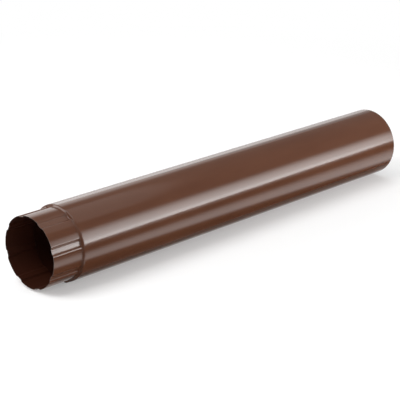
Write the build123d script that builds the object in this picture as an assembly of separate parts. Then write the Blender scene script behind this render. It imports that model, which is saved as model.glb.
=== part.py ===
from build123d import *
import math
import os

# Round sheet-metal downpipe, one metre long, lying on a level floor.
# One sheet is rolled into a tube and closed by a folded lock seam outside.
# One end is plain. The other is stepped in and fluted, so that it slides into the next pipe.
# Millimetres and degrees. +X runs from the fluted spigot to the plain end, +Z is up.
# The origin is the middle of the floor rectangle that the pipe covers.

# Pipe
pipe_diameter = 150.0
body_length = 930.0
spigot_length = 70.0
sheet_thickness = 0.5

# Shoulder between the body and the spigot, as it stands on the lands between flutes
shoulder_height = 4.6
shoulder_slope = 66.0
brow_bend_radius = 2.0
foot_bend_radius = 1.2

# Flutes pressed into the spigot
flute_count = 8
flute_depth = 2.5
flute_mouth_width = 16.0
flute_floor_width = 9.0
flute_mouth_bend_radius = 6.0
flute_floor_bend_radius = 1.5
flute_lip_turn = 4.0
flute_lip_width = 0.6
flute_end_slope = 78.0
flute_foot_bend_radius = 2.6
flute_end_share = 0.6
flute_turn = 15.9

# Folded lock seam: four layers of sheet, three of them outside the tube
seam_width = 5.0
seam_outer_layers = 3
seam_step_run = 1.5
seam_root_share = 0.5

# Cutting tools run past the faces that they cut by this much
overrun = 5.0

# Two radii are taken as the same when they differ by less than this
same_radius_share = 0.0005

pipe_radius = pipe_diameter / 2
spigot_radius = pipe_radius - shoulder_height
floor_radius = spigot_radius - flute_depth
total_length = spigot_length + body_length
rim_x = -total_length / 2
shoulder_x = rim_x + spigot_length
plain_end_x = total_length / 2
seam_height = seam_outer_layers * sheet_thickness
seam_fold_radius = seam_height / 2


def half_tan(angle):
    """Tangent of half of an angle: how far a bend of unit radius reaches from its corner."""
    return math.tan(math.radians(angle) / 2)


# The body keeps its full diameter up to shoulder_x, where the shoulder's first bend starts.
brow_x = shoulder_x - brow_bend_radius * half_tan(shoulder_slope)


def step_line(end_radius, slope, foot_bend, inset, run_out):
    """Side view of the tube's wall: spigot, stepped shoulder and body, moved inwards by inset."""
    start_x = rim_x - run_out
    end_x = plain_end_x + run_out
    corner_x = brow_x + inset * half_tan(slope)
    drop = pipe_radius - end_radius
    foot_x = corner_x - drop / math.tan(math.radians(slope))
    low = end_radius - inset
    high = pipe_radius - inset
    bends = [foot_bend + inset, brow_bend_radius - inset]
    corners = [(start_x, low), (foot_x, low), (corner_x, high), (end_x, high)]
    return FilletPolyline(*corners, radius=bends)


def stepped_bar(end_radius, slope, foot_bend, inset, run_out):
    """Solid of revolution under a step line."""
    line = step_line(end_radius, slope, foot_bend, inset, run_out)
    start = line @ 0
    end = line @ 1
    sides = Polyline((start.X, start.Y), (start.X, 0), (end.X, 0), (end.X, end.Y))
    section = make_face(line + sides)
    return revolve(Plane.XZ * section, Axis.X)


def tilted(angle):
    """Direction in a cross-section that leans to the right from straight up by an angle."""
    turn = math.radians(angle)
    return Vector(math.sin(turn), math.cos(turn))


def flute_section(inset):
    """Cross-section of one flute, opening upwards, with the sheet's surface moved into it by inset.

    On each side a straight wall rises from the floor's edge and bends over to the land. The bend stops
    just short of the land's own slope, so that the cutter leaves the land at a clear angle.
    """
    floor_half = flute_floor_width / 2
    mouth_half = flute_mouth_width / 2
    foot = Vector(floor_half, math.sqrt(floor_radius**2 - floor_half**2))
    mouth = Vector(mouth_half, math.sqrt(spigot_radius**2 - mouth_half**2))
    slope = math.degrees(math.atan2(mouth.Y - foot.Y, mouth.X - foot.X))
    up_wall = tilted(90 - slope)
    into_sheet = tilted(180 - slope)

    # The bend's centre lies one bend radius under both the wall and the land.
    below_wall = foot + into_sheet * flute_mouth_bend_radius
    lead = below_wall.dot(up_wall)
    excess = below_wall.dot(below_wall) - (spigot_radius - flute_mouth_bend_radius) ** 2
    centre = below_wall + up_wall * (math.sqrt(lead**2 - excess) - lead)
    lip_lean = math.degrees(math.atan2(centre.X, centre.Y)) - flute_lip_turn

    bend = flute_mouth_bend_radius - inset
    wall_top = centre - into_sheet * bend
    wall_bottom = wall_top - up_wall * (wall_top.X / up_wall.X)
    bend_middle = centre + tilted((lip_lean - slope) / 2) * bend
    bend_end = centre + tilted(lip_lean) * bend
    lip_end = bend_end + tilted(90 + lip_lean) * flute_lip_width
    top_y = pipe_radius + overrun
    right_side = [
        Line(wall_bottom, wall_top),
        ThreePointArc(wall_top, bend_middle, bend_end),
        Line(bend_end, lip_end),
        Line(lip_end, (lip_end.X, top_y)),
        Line((lip_end.X, top_y), (0, top_y)),
    ]
    left_side = [edge.mirror(Plane.YZ) for edge in right_side]
    return make_face(right_side + left_side)


def flute_cutter(inset, run_out):
    """One flute as a solid: open at the rim, closed by a steep wall in the shoulder."""
    start_x = rim_x - run_out
    bend_reach = (brow_bend_radius - inset) * half_tan(flute_end_slope)
    end_x = brow_x + inset * half_tan(flute_end_slope) + bend_reach * flute_end_share
    cross_plane = Plane(origin=(start_x, 0, 0), x_dir=(0, 1, 0), z_dir=(1, 0, 0))
    prism = extrude(cross_plane * flute_section(inset), amount=end_x - start_x)
    valley = stepped_bar(floor_radius, flute_end_slope, flute_foot_bend_radius, inset, overrun)
    return prism - valley


def flute_angles():
    """Turns about the pipe's axis that carry a flute at the top to each place."""
    return [flute_turn + count * 360 / flute_count for count in range(flute_count)]


def floor_edges(bar, inset):
    """Long edges where a flute's walls stand on its floor."""
    radius = floor_radius - inset
    found = []
    for edge in bar.edges().filter_by(Axis.X):
        middle = edge @ 0.5
        if math.isclose(math.hypot(middle.Y, middle.Z), radius, rel_tol=same_radius_share):
            found.append(edge)
    return found


def fluted_bar(inset, run_out):
    """The tube's outer form, or its bore when inset is the sheet's thickness."""
    bar = stepped_bar(spigot_radius, shoulder_slope, foot_bend_radius, inset, run_out)
    cutter = flute_cutter(inset, run_out + overrun)
    cutters = [Rot(X=90 - angle) * cutter for angle in flute_angles()]
    bar = bar - cutters
    return fillet(floor_edges(bar, inset), flute_floor_bend_radius + inset)


def seam_angle():
    """Turn from straight down at which the seam's rounded fold just meets the floor."""
    centre_height = pipe_radius + seam_height - seam_fold_radius
    centre_across = seam_width / 2 - seam_fold_radius
    reach = math.hypot(centre_height, centre_across)
    lean = math.atan2(centre_across, centre_height)
    return math.degrees(lean + math.acos((pipe_radius - seam_fold_radius) / reach))


def seam_section():
    """Cross-section of the seam over the sheet: a stepped side, a flat top and a round fold."""
    half = seam_width / 2
    root = -seam_root_share * sheet_thickness
    fold_x = seam_fold_radius - half
    round_x = fold_x - seam_fold_radius * math.sqrt(0.5)
    round_y = seam_fold_radius + seam_fold_radius * math.sqrt(0.5)
    step_foot_x = half + seam_step_run / 2
    step_top_x = half - seam_step_run / 2
    outline = [
        Line((-half, root), (-half, seam_fold_radius)),
        ThreePointArc((-half, seam_fold_radius), (round_x, round_y), (fold_x, seam_height)),
        Line((fold_x, seam_height), (step_top_x, seam_height)),
        Line((step_top_x, seam_height), (step_foot_x, 0)),
        Line((step_foot_x, 0), (step_foot_x, root)),
        Line((step_foot_x, root), (-half, root)),
    ]
    return make_face(outline)


def lock_seam():
    """The folded seam: its section carried along the wall and through a flute of the spigot."""
    path = Plane.XZ * step_line(floor_radius, flute_end_slope, flute_foot_bend_radius, 0, 0)
    start = path @ 0
    cross_plane = Plane(origin=start, x_dir=(0, 1, 0), z_dir=(1, 0, 0))
    ridge = sweep(cross_plane * seam_section(), path)
    return Rot(X=180 - seam_angle()) * ridge


def downpipe():
    """The whole pipe, lying on the floor."""
    outside = fluted_bar(0, 0)
    bore = fluted_bar(sheet_thickness, overrun)
    tube = outside - bore + lock_seam()
    return Pos(0, 0, pipe_radius) * tube


os.makedirs("parts", exist_ok=True)
export_step(downpipe(), "parts/downpipe.step")
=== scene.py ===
import math

import bmesh
import bpy
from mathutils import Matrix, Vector


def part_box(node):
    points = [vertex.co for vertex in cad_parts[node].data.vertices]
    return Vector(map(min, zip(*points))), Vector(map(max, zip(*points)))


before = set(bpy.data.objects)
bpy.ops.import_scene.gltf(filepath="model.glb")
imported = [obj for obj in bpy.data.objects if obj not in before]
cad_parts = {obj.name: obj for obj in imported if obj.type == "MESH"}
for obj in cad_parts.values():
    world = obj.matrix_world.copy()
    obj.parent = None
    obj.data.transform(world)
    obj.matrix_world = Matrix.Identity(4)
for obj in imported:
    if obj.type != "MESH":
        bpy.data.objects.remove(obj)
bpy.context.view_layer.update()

# Metres and degrees. The pipe lies along X, its fluted spigot at the low end. The camera is on the
# -Y side, which is called the front.
PIPE_LOW, PIPE_HIGH = (Vector(corner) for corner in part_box("downpipe"))
PIPE_RADIUS = (PIPE_HIGH.z - PIPE_LOW.z) / 2
AXIS_HEIGHT = PIPE_LOW.z + PIPE_RADIUS
SPIGOT_END = (PIPE_LOW.x, 0, AXIS_HEIGHT)

# Camera: place, heading from +X towards +Y, pitch upwards, and lens in millimetres
CAMERA_PLACE = (-1.868, -1.781, 0.947)
CAMERA_HEADING = 44.53
CAMERA_PITCH = -19.10
CAMERA_LENS = 118.26

# Studio: a round floor with a low wall. The floor takes light and shadow up to the lit radius and is
# evenly pale from the pale radius on. Its lift is a glow that shows only to the camera and in gloss.
STUDIO_RADIUS = 12.0
STUDIO_WALL = 3.0
STUDIO_SIDES = 96
FLOOR_COLOR = (0.75, 0.75, 0.75, 1)
FLOOR_LIFT = 0.25
LIT_RADIUS, PALE_RADIUS = 0.9, 2.0
WORLD_STRENGTH = 0.3
WHITE = (1, 1, 1, 1)

# Long soft boxes: angle about the pipe's axis from the front upwards, distance from the axis, height,
# length, and place of the middle along the pipe. Grades are radiances at shares of the height, from
# the lower edge up. A fade is the factor on them at the left and the right end, seen from behind
# the box.
FRONT_BOX = {"angle": 20.3, "distance": 2.0, "height": 1.45, "length": 2.2, "middle": 1.95}
FRONT_GRADES = {0.0: 15.0, 0.15: 13.5, 0.32: 8.8, 0.55: 7.2, 0.8: 3.0, 1.0: 0.0}
FRONT_FADE = (1.05, 0.75)
BACK_BOX = {"angle": 154, "distance": 2.0, "height": 1.4, "length": 4.0, "middle": 1.0}
BACK_GRADES = {0.0: 0.15, 0.2: 1.2, 0.4: 1.3, 0.6: 1.55, 0.8: 0.9, 1.0: 0.1}
BACK_FADE = (0.29, 1.84)
TOP_BOX = {"angle": 90, "distance": 2.3, "height": 2.4, "length": 2.6, "middle": 0.5}
TOP_RADIANCE = 0.7

# Soft boxes that face the spigot: place, width and height, and radiance. The low one shows in the
# shoulder.
END_BOX = {"place": (-1.8, 0.3, 1.9), "size": (1.4, 1.4), "radiance": 5.8}
LOW_BOX = {"place": (-2.25, 1.36, 0.62), "size": (1.8, 0.4), "radiance": 5.0}
FILL_BOX = {"place": (-1.7, -2.0, 1.4), "size": (1.2, 1.2), "radiance": 2.0}

# Strip light on the floor in front of the pipe, shining up and nearer to the pipe at the plain end.
# Its grades start at the edge beside the pipe, and its fade at the spigot.
STRIP_PLACE = (0.3, -0.161, 0.004)
STRIP_SIZE = (2.4, 0.24)
STRIP_TURN = 2.6
STRIP_GRADES = {0.0: 0.0, 0.14: 0.0, 0.225: 1.4, 0.35: 2.75, 0.5: 2.3, 0.66: 1.3, 0.85: 0.3, 1.0: 0.0}
STRIP_FADE = (1.15, 0.62)

# Painted shade: a card under the strip light, which only the coating's gloss shows, and which stands
# in for the floor's shade beside the pipe: low and high corner, and the two places in Y between which
# it turns from black to grey
CARD_LOW, CARD_HIGH = (-0.9, -0.75), (1.5, -0.04)
CARD_SHADE_BLACK, CARD_SHADE_GREY = (0.01, 0.01, 0.01, 1), (0.45, 0.45, 0.45, 1)
CARD_GREY_FROM, CARD_GREY_TO = -0.072, -0.054

# Coating: each pair is the least and the most, and a detail is the number of finer layers in a noise.
# A face is inside where the part of its normal towards the pipe's axis is more than the inside share.
NOISE_SPAN = (0.3, 0.7)
COAT_COLORS = (0.094, 0.036, 0.019, 1), (0.106, 0.042, 0.0225, 1)
# Painted shade: inside faces are coloured darker than the coat, standing in for the shade in the bore
INSIDE_SHADE_COLOR = (0.035, 0.008, 0.003, 1)
COAT_ROUGHNESS = (0.115, 0.155)
INSIDE_SHARE = 0.25
INSIDE_DULLNESS = 0.35
COAT_SPECULAR = 0.3
SHADE_BLOTCH = (0.15, 0.04, 0.04)
SHADE_DETAIL = 2
GLOSS_BLOTCH = (0.05, 0.02, 0.02)
GLOSS_DETAIL = 3

# Orange peel of the coating, and the long flat waves of the rolled sheet
PEEL_SIZE = (0.0022, 0.0022, 0.0022)
PEEL_DETAIL = 1
PEEL_DEPTH = 0.000012
WAVE_SIZE = (0.2, 0.05, 0.05)
WAVE_DEPTH = 0.00015

# Dull zinc on the sheet's cut faces. They lie no further than a depth behind an end of the pipe, and
# the X part of their normal is more than the facing.
ZINC_COLOR = (0.14, 0.12, 0.11, 1)
ZINC_DULLNESS = 0.4
CUT_DEPTH = 0.0002
CUT_FACING = 0.9


def add_camera():
    """View along and down on the pipe from its spigot end."""
    data = bpy.data.cameras.new("camera")
    data.lens = CAMERA_LENS
    camera = bpy.data.objects.new("camera", data)
    camera.location = CAMERA_PLACE
    camera.rotation_euler = (math.radians(90 + CAMERA_PITCH), 0, math.radians(CAMERA_HEADING - 90))
    bpy.context.collection.objects.link(camera)
    bpy.context.scene.camera = camera


def new_material(name):
    """An empty node material and its tree."""
    material = bpy.data.materials.new(name)
    material.use_nodes = True
    material.node_tree.nodes.clear()
    return material, material.node_tree


def new_math(tree, operation, first, second):
    """Output of a Math node; first and second are sockets or numbers."""
    node = tree.nodes.new("ShaderNodeMath")
    node.operation = operation
    for socket, value in zip(node.inputs, (first, second)):
        if isinstance(value, bpy.types.NodeSocket):
            tree.links.new(value, socket)
        else:
            socket.default_value = value
    return node.outputs[0]


def new_mix(tree, share, first, second):
    """Output of a color Mix node; share is a socket, first and second are sockets or colors."""
    node = tree.nodes.new("ShaderNodeMix")
    node.data_type = "RGBA"
    tree.links.new(share, node.inputs["Factor"])
    for name, value in (("A", first), ("B", second)):
        if isinstance(value, bpy.types.NodeSocket):
            tree.links.new(value, node.inputs[name])
        else:
            node.inputs[name].default_value = value
    return node.outputs["Result"]


def new_range(tree, value, low, high):
    """A noise value spread over low to high."""
    node = tree.nodes.new("ShaderNodeMapRange")
    node.inputs["From Min"].default_value, node.inputs["From Max"].default_value = NOISE_SPAN
    node.inputs["To Min"].default_value = low
    node.inputs["To Max"].default_value = high
    tree.links.new(value, node.inputs["Value"])
    return node.outputs["Result"]


def new_noise(tree, size, detail=0):
    """Noise on the object's own coordinates, with blotches of a size given as (X, Y, Z)."""
    spot = tree.nodes.new("ShaderNodeTexCoord")
    stretch = tree.nodes.new("ShaderNodeVectorMath")
    stretch.operation = "DIVIDE"
    stretch.inputs[1].default_value = size
    noise = tree.nodes.new("ShaderNodeTexNoise")
    noise.inputs["Scale"].default_value = 1
    noise.inputs["Detail"].default_value = detail
    tree.links.new(spot.outputs["Object"], stretch.inputs[0])
    tree.links.new(stretch.outputs[0], noise.inputs["Vector"])
    return noise.outputs[0]


def new_bump(tree, height, depth, normal=None):
    """Normal of a surface that rises by depth where the height socket goes from 0 to 1."""
    bump = tree.nodes.new("ShaderNodeBump")
    bump.inputs["Strength"].default_value = 1
    bump.inputs["Distance"].default_value = depth
    tree.links.new(height, bump.inputs["Height"])
    if normal is not None:
        tree.links.new(normal, bump.inputs["Normal"])
    return bump.outputs["Normal"]


def inside_mask(tree):
    """1 on faces that look towards the pipe's axis, 0 elsewhere."""
    spot = tree.nodes.new("ShaderNodeTexCoord")
    around = tree.nodes.new("ShaderNodeVectorMath")
    around.operation = "MULTIPLY_ADD"
    around.inputs[1].default_value = (0, 1, 1)
    around.inputs[2].default_value = (0, 0, -AXIS_HEIGHT)
    geometry = tree.nodes.new("ShaderNodeNewGeometry")
    outwards = tree.nodes.new("ShaderNodeVectorMath")
    outwards.operation = "DOT_PRODUCT"
    tree.links.new(spot.outputs["Object"], around.inputs[0])
    tree.links.new(around.outputs[0], outwards.inputs[0])
    tree.links.new(geometry.outputs["Normal"], outwards.inputs[1])
    return new_math(tree, "LESS_THAN", outwards.outputs["Value"], -INSIDE_SHARE * PIPE_RADIUS)


def cut_edge_mask(tree):
    """1 on the sheet's cut faces at the two ends of the pipe, 0 elsewhere."""
    spot = tree.nodes.new("ShaderNodeTexCoord").outputs["Object"]
    normal = tree.nodes.new("ShaderNodeNewGeometry").outputs["Normal"]
    masks = []
    for vector, limit in ((spot, PIPE_HIGH.x - CUT_DEPTH), (normal, CUT_FACING)):
        split = tree.nodes.new("ShaderNodeSeparateXYZ")
        tree.links.new(vector, split.inputs[0])
        along = new_math(tree, "ABSOLUTE", split.outputs["X"], 0)
        masks.append(new_math(tree, "GREATER_THAN", along, limit))
    return new_math(tree, "MULTIPLY", *masks)


def coated_sheet():
    """Glossy chocolate-brown coating with a faint orange peel, duller inside and darkened there by
    painted shade, and bare zinc on the cut edges."""
    material, tree = new_material("coated_sheet")
    out = tree.nodes.new("ShaderNodeOutputMaterial")
    skin = tree.nodes.new("ShaderNodeBsdfPrincipled")
    skin.inputs["Specular IOR Level"].default_value = COAT_SPECULAR
    cut = cut_edge_mask(tree)
    inside = inside_mask(tree)

    shade = new_range(tree, new_noise(tree, SHADE_BLOTCH, SHADE_DETAIL), 0, 1)
    # Painted shade: faces inside the pipe take the darker inside colour
    coat_with_inside_shade = new_mix(tree, inside, new_mix(tree, shade, *COAT_COLORS), INSIDE_SHADE_COLOR)
    tree.links.new(new_mix(tree, cut, coat_with_inside_shade, ZINC_COLOR), skin.inputs["Base Color"])
    tree.links.new(cut, skin.inputs["Metallic"])

    roughness = new_range(tree, new_noise(tree, GLOSS_BLOTCH, GLOSS_DETAIL), *COAT_ROUGHNESS)
    for mask, dullness in ((cut, ZINC_DULLNESS), (inside, INSIDE_DULLNESS)):
        extra = new_math(tree, "MULTIPLY", mask, dullness)
        roughness = new_math(tree, "ADD", roughness, extra)
    tree.links.new(roughness, skin.inputs["Roughness"])

    waves = new_bump(tree, new_noise(tree, WAVE_SIZE), WAVE_DEPTH)
    peel = new_bump(tree, new_noise(tree, PEEL_SIZE, PEEL_DETAIL), PEEL_DEPTH, waves)
    tree.links.new(peel, skin.inputs["Normal"])
    tree.links.new(skin.outputs["BSDF"], out.inputs["Surface"])
    return material


def studio_material():
    """Matt white that takes the shadow near the pipe and turns into an even white further out."""
    material, tree = new_material("studio")
    out = tree.nodes.new("ShaderNodeOutputMaterial")
    path = tree.nodes.new("ShaderNodeLightPath")
    seen = new_math(tree, "MAXIMUM", path.outputs["Is Camera Ray"], path.outputs["Is Glossy Ray"])
    seen = new_math(tree, "MAXIMUM", seen, path.outputs["Is Transmission Ray"])

    matt = tree.nodes.new("ShaderNodeBsdfDiffuse")
    matt.inputs["Color"].default_value = FLOOR_COLOR
    lift = tree.nodes.new("ShaderNodeEmission")
    tree.links.new(new_math(tree, "MULTIPLY", seen, FLOOR_LIFT), lift.inputs["Strength"])
    near = tree.nodes.new("ShaderNodeAddShader")
    tree.links.new(matt.outputs[0], near.inputs[0])
    tree.links.new(lift.outputs[0], near.inputs[1])

    pale = tree.nodes.new("ShaderNodeEmission")
    glow = new_math(tree, "MULTIPLY", seen, 1 - WORLD_STRENGTH)
    tree.links.new(new_math(tree, "ADD", glow, WORLD_STRENGTH), pale.inputs["Strength"])

    spot = tree.nodes.new("ShaderNodeTexCoord")
    length = tree.nodes.new("ShaderNodeVectorMath")
    length.operation = "LENGTH"
    tree.links.new(spot.outputs["Object"], length.inputs[0])
    outwards = tree.nodes.new("ShaderNodeMapRange")
    outwards.interpolation_type = "SMOOTHSTEP"
    outwards.inputs["From Min"].default_value = LIT_RADIUS
    outwards.inputs["From Max"].default_value = PALE_RADIUS
    tree.links.new(length.outputs["Value"], outwards.inputs["Value"])
    mix = tree.nodes.new("ShaderNodeMixShader")
    tree.links.new(outwards.outputs["Result"], mix.inputs[0])
    tree.links.new(near.outputs[0], mix.inputs[1])
    tree.links.new(pale.outputs[0], mix.inputs[2])
    tree.links.new(mix.outputs[0], out.inputs["Surface"])
    return material


def add_studio():
    """Round floor with an upright rim."""
    mesh = bpy.data.meshes.new("studio")
    form = bmesh.new()
    bmesh.ops.create_circle(form, cap_ends=True, segments=STUDIO_SIDES, radius=STUDIO_RADIUS)
    rim = bmesh.ops.extrude_edge_only(form, edges=form.edges[:])
    risen = [item for item in rim["geom"] if isinstance(item, bmesh.types.BMVert)]
    bmesh.ops.translate(form, verts=risen, vec=(0, 0, STUDIO_WALL))
    form.to_mesh(mesh)
    form.free()
    studio = bpy.data.objects.new("studio", mesh)
    studio.location = (0, 0, PIPE_LOW.z)
    studio.data.materials.append(studio_material())
    bpy.context.collection.objects.link(studio)


def gloss_shade_material():
    """Painted shade seen only in gloss: matt black that turns grey towards the pipe."""
    material, tree = new_material("shade_card")
    out = tree.nodes.new("ShaderNodeOutputMaterial")
    spot = tree.nodes.new("ShaderNodeTexCoord")
    split = tree.nodes.new("ShaderNodeSeparateXYZ")
    share = tree.nodes.new("ShaderNodeMapRange")
    share.interpolation_type = "SMOOTHSTEP"
    share.inputs["From Min"].default_value = CARD_GREY_FROM
    share.inputs["From Max"].default_value = CARD_GREY_TO
    tree.links.new(spot.outputs["Object"], split.inputs[0])
    tree.links.new(split.outputs["Y"], share.inputs["Value"])
    matt = tree.nodes.new("ShaderNodeBsdfDiffuse")
    tree.links.new(new_mix(tree, share.outputs["Result"], CARD_SHADE_BLACK, CARD_SHADE_GREY), matt.inputs["Color"])
    tree.links.new(matt.outputs[0], out.inputs["Surface"])
    return material


def add_gloss_shade():
    """Card between the floor and the strip light, which paints shade into the coating's lower side,
    standing in for the floor's shade beside the pipe.
    """
    (low_x, low_y), (high_x, high_y) = CARD_LOW, CARD_HIGH
    height = STRIP_PLACE[2] / 2
    corners = [(low_x, low_y), (high_x, low_y), (high_x, high_y), (low_x, high_y)]
    mesh = bpy.data.meshes.new("shade_card")
    mesh.from_pydata([(x, y, height) for x, y in corners], [], [(0, 1, 2, 3)])
    shade_card = bpy.data.objects.new("shade_card", mesh)
    shade_card.data.materials.append(gloss_shade_material())
    # Painted shade: the card shows only in gloss, not to the camera, in diffuse light or in shadows
    shade_card.visible_camera = False
    shade_card.visible_diffuse = False
    shade_card.visible_transmission = False
    shade_card.visible_shadow = False
    bpy.context.collection.objects.link(shade_card)


def add_world():
    """Even white light from all round."""
    world = bpy.data.worlds.new("world")
    bpy.context.scene.world = world
    world.use_nodes = True
    back = world.node_tree.nodes["Background"]
    back.inputs["Color"].default_value = WHITE
    back.inputs["Strength"].default_value = WORLD_STRENGTH


def add_softbox(name, place, size, radiance, aim=SPIGOT_END):
    """A soft box of a width and height at a place, facing a point. Its power gives it the radiance."""
    data = bpy.data.lights.new(name, "AREA")
    data.shape = "RECTANGLE"
    data.size, data.size_y = size
    data.energy = radiance * math.pi * data.size * data.size_y
    box = bpy.data.objects.new(name, data)
    box.location = place
    box.rotation_euler = (Vector(aim) - box.location).to_track_quat("-Z", "Y").to_euler()
    box.visible_camera = False
    bpy.context.collection.objects.link(box)
    return box


def add_long_softbox(name, form, radiance):
    """A soft box beside or over the pipe, parallel to it and facing it."""
    turn = math.radians(form["angle"])
    across = -form["distance"] * math.cos(turn)
    up = AXIS_HEIGHT + form["distance"] * math.sin(turn)
    place = (form["middle"], across, up)
    size = (form["length"], form["height"])
    return add_softbox(name, place, size, radiance, (form["middle"], 0, AXIS_HEIGHT))


def grade_light(data, grades, fade):
    """Radiance of a lamp along its own Y axis by the grades, times a factor that goes evenly along its
    own X axis from the first number of the fade to the second."""
    data.use_nodes = True
    tree = data.node_tree
    where = tree.nodes.new("ShaderNodeNewGeometry")
    split = tree.nodes.new("ShaderNodeSeparateXYZ")
    curve = tree.nodes.new("ShaderNodeFloatCurve")
    curve.mapping.use_clip = False
    points = curve.mapping.curves[0].points
    while len(points) < len(grades):
        points.new(0, 0)
    for point, place in zip(points, grades.items()):
        point.location = place
    curve.mapping.update()
    tree.links.new(where.outputs["Parametric"], split.inputs[0])
    tree.links.new(split.outputs["Y"], curve.inputs["Value"])
    slope = new_math(tree, "MULTIPLY", split.outputs["X"], fade[1] - fade[0])
    share = new_math(tree, "ADD", slope, fade[0])
    strength = new_math(tree, "MULTIPLY", curve.outputs[0], share)
    tree.links.new(strength, tree.nodes["Emission"].inputs["Strength"])


def add_lights():
    """Three long soft boxes around the pipe, three that face the spigot, and the strip light."""
    front = add_long_softbox("front", FRONT_BOX, 1)
    grade_light(front.data, FRONT_GRADES, FRONT_FADE)
    back = add_long_softbox("back", BACK_BOX, 1)
    grade_light(back.data, BACK_GRADES, BACK_FADE)
    add_long_softbox("top", TOP_BOX, TOP_RADIANCE)
    for name, form in (("end", END_BOX), ("low", LOW_BOX), ("fill", FILL_BOX)):
        add_softbox(name, **form)
    strip = add_softbox("strip", STRIP_PLACE, STRIP_SIZE, 1)
    strip.rotation_euler = (math.pi, 0, math.radians(STRIP_TURN))
    strip.visible_diffuse = False
    grade_light(strip.data, STRIP_GRADES, STRIP_FADE)


bpy.context.scene.view_settings.view_transform = "Standard"
add_camera()
add_world()
add_studio()
add_gloss_shade()
add_lights()

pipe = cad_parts["downpipe"]
pipe.data.materials.clear()
pipe.data.materials.append(coated_sheet())
